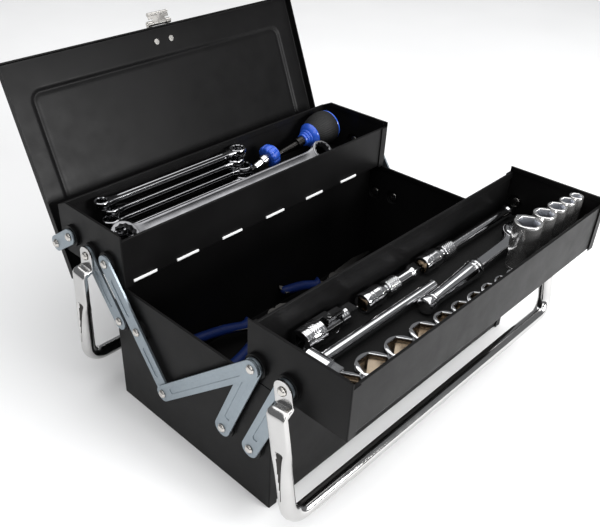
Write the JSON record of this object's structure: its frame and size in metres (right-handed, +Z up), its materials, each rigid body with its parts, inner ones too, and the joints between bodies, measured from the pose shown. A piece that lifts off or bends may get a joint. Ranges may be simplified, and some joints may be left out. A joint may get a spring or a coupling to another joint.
{
  "type": "cantilever tool case with socket set",
  "caption": "Two-way cantilever steel tool case, open, with folding trays on links, a hinged lid and two handles, holding a socket set and hand tools.",
  "frame": {"origin": "bottom centre of the lower box", "axes": "+Z up, +X along the long side, -Y to the front tray"},
  "size_m": [0.3946, 0.408, 0.2914],
  "materials": {
    "black_paint": "semi-gloss",
    "chrome": "polished",
    "satin_steel": "satin",
    "handle_steel": "polished",
    "zinc_links": "zinc plated",
    "zinc_fittings": "zinc plated",
    "pale_plastic": "matte",
    "tray_mat": "felt",
    "driver_grip": "matte",
    "blue_plastic": "gloss",
    "blue_grip_steel": "dipped grips",
    "tool_steel": "ground"
  },
  "bodies": {
    "lower_box": {"lower_box_wrap": "black_paint", "lower_box_left_end": "black_paint", "lower_box_right_end": "black_paint", "lower_box_rivets": "zinc_fittings", "pliers_lower_half": "blue_grip_steel", "pliers_pin": "tool_steel", "long_nose_pliers_lower_half": "blue_grip_steel", "long_nose_pliers_pin": "tool_steel"},
    "main_arms": {"main_arms": "zinc_links", "main_arm_rivets": "zinc_fittings"},
    "rear_tray": {"rear_tray_wrap": "black_paint", "rear_tray_left_end": "black_paint", "rear_tray_right_end": "black_paint", "rear_tray_rivets": "zinc_fittings", "rear_tray_glide_pads": "pale_plastic", "ring_spanner_1": "chrome", "ring_spanner_2": "chrome", "ring_spanner_3": "chrome", "ring_spanner_4": "chrome", "ring_spanner_5": "chrome", "long_spanner": "satin_steel", "ball_driver_grip": "driver_grip", "ball_driver_blade": "chrome", "spinner_grip": "blue_plastic", "spinner_shaft": "chrome"},
    "rear_tray_links": {"rear_tray_links": "zinc_links"},
    "front_tray_inner_links": {"front_tray_inner_links": "zinc_links"},
    "front_tray_outer_links": {"front_tray_outer_links": "zinc_links"},
    "front_tray": {"front_tray_wrap": "black_paint", "front_tray_left_end": "black_paint", "front_tray_right_end": "black_paint", "front_tray_rivets": "zinc_fittings", "front_tray_mat": "tray_mat", "shallow_sockets": "chrome", "deep_sockets": "chrome", "extension_short": "chrome", "extension_long": "chrome", "universal_socket_yoke": "chrome", "t_handle_bar": "chrome", "ratchet_body": "chrome"},
    "coupler_links": {"coupler_links": "zinc_links", "coupler_rivets": "zinc_fittings"},
    "lid_arms": {"lid_arms": "zinc_links"},
    "lid": {"lid_panel": "black_paint", "lid_rivets": "zinc_fittings", "latch_base": "zinc_fittings", "latch_pin": "zinc_fittings"},
    "latch_hasp": {"latch_hasp": "zinc_fittings"},
    "front_handle": {"front_handle": "handle_steel"},
    "rear_handle": {"rear_handle": "handle_steel"},
    "universal_cross": {"universal_cross": "chrome"},
    "universal_drive_yoke": {"universal_drive_yoke": "chrome"},
    "t_handle_head": {"t_handle_head": "chrome"},
    "ratchet_drive": {"ratchet_drive": "chrome"},
    "ratchet_lever": {"ratchet_lever": "chrome"},
    "pliers_upper_half": {"pliers_upper_half": "blue_grip_steel"},
    "long_nose_pliers_upper_half": {"long_nose_pliers_upper_half": "blue_grip_steel"}
  },
  "joints": [
    {"name": "case_fold", "type": "hinge", "parent": "lower_box", "child": "main_arms", "pos_m": [0, 0.0599, 0.0934], "axis": [1, 0, 0], "range_deg": [0, 73]},
    {"name": "rear_tray_level", "type": "hinge", "parent": "main_arms", "child": "rear_tray", "pos_m": [0, 0.09761, 0.14436], "axis": [1, 0, 0], "range_deg": [-73, 0]},
    {"name": "rear_tray_link_fold", "type": "hinge", "parent": "lower_box", "child": "rear_tray_links", "pos_m": [0, 0.0849, 0.0914], "axis": [1, 0, 0], "range_deg": [0, 73]},
    {"name": "front_inner_link_fold", "type": "hinge", "parent": "lower_box", "child": "front_tray_inner_links", "pos_m": [0, -0.0472, 0.0587], "axis": [1, 0, 0], "range_deg": [-44.4, 0]},
    {"name": "front_tray_level", "type": "hinge", "parent": "front_tray_inner_links", "child": "front_tray", "pos_m": [0, -0.0812, 0.14203], "axis": [1, 0, 0], "range_deg": [0, 44.4]},
    {"name": "front_outer_link_fold", "type": "hinge", "parent": "lower_box", "child": "front_tray_outer_links", "pos_m": [0, -0.0782, 0.0587], "axis": [1, 0, 0], "range_deg": [-44.4, 0]},
    {"name": "coupler_fold", "type": "hinge", "parent": "main_arms", "child": "coupler_links", "pos_m": [0, 0.0259, 0.04745], "axis": [1, 0, 0], "range_deg": [-73, 0]},
    {"name": "lid_arm_fold", "type": "hinge", "parent": "rear_tray", "child": "lid_arms", "pos_m": [0, 0.1509, 0.148], "axis": [1, 0, 0], "range_deg": [0, 151.94]},
    {"name": "lid_level", "type": "hinge", "parent": "lid_arms", "child": "lid", "pos_m": [0, 0.17497, 0.13114], "axis": [1, 0, 0], "range_deg": [-39.54, 0]},
    {"name": "front_handle_swing", "type": "hinge", "parent": "front_tray", "child": "front_handle", "pos_m": [0, -0.1122, 0.14203], "axis": [1, 0, 0], "range_deg": [-188.41, 0]},
    {"name": "rear_handle_swing", "type": "hinge", "parent": "rear_tray", "child": "rear_handle", "pos_m": [0, 0.12261, 0.14236], "axis": [1, 0, 0], "range_deg": [0, 195.01]},
    {"name": "latch_hasp_swing", "type": "hinge", "parent": "lid", "child": "latch_hasp", "pos_m": [0, 0.24012, 0.28134], "axis": [1, 0, 0], "range_deg": [0, 90]},
    {"name": "universal_cross_bend", "type": "hinge", "parent": "front_tray", "child": "universal_cross", "pos_m": [-0.104, -0.084, 0.1406], "axis": [0, 1, 0], "range_deg": [-20, 0]},
    {"name": "universal_drive_bend", "type": "hinge", "parent": "universal_cross", "child": "universal_drive_yoke", "pos_m": [-0.104, -0.084, 0.1406], "axis": [0, 0, 1], "range_deg": [-8, 8]},
    {"name": "t_handle_head_slide", "type": "slide", "parent": "front_tray", "child": "t_handle_head", "axis": [1, 0, 0], "range_m": [0, 0.09]},
    {"name": "ratchet_drive_turn", "type": "hinge", "parent": "front_tray", "child": "ratchet_drive", "pos_m": [0.12788, -0.11343, 0.1388], "axis": [0, 0, 1], "continuous": true},
    {"name": "ratchet_lever_flip", "type": "hinge", "parent": "front_tray", "child": "ratchet_lever", "pos_m": [0.12788, -0.11343, 0.1388], "axis": [0, 0, 1], "range_deg": [-20, 20]},
    {"name": "pliers_open", "type": "hinge", "parent": "lower_box", "child": "pliers_upper_half", "pos_m": [-0.008, 0.0635, 0.0171], "axis": [0, 0.5, -0.866], "range_deg": [-12, 0]},
    {"name": "long_nose_pliers_open", "type": "hinge", "parent": "lower_box", "child": "long_nose_pliers_upper_half", "pos_m": [0.092, 0.0665, 0.0152], "axis": [0, 0.5, -0.866], "range_deg": [-12, 0]}
  ],
  "couplings": [
    {"joint": "rear_tray_level", "follows": "case_fold", "ratio": -1},
    {"joint": "rear_tray_link_fold", "follows": "case_fold", "ratio": 1},
    {"joint": "front_inner_link_fold", "follows": "case_fold", "ratio": -0.60808},
    {"joint": "front_tray_level", "follows": "case_fold", "ratio": 0.60808},
    {"joint": "front_outer_link_fold", "follows": "case_fold", "ratio": -0.60808},
    {"joint": "coupler_fold", "follows": "case_fold", "ratio": -1},
    {"joint": "lid_arm_fold", "follows": "case_fold", "ratio": 2.0813},
    {"joint": "lid_level", "follows": "case_fold", "ratio": -0.54154},
    {"joint": "front_handle_swing", "follows": "case_fold", "ratio": -2.5808},
    {"joint": "rear_handle_swing", "follows": "case_fold", "ratio": 2.6712}
  ]
}
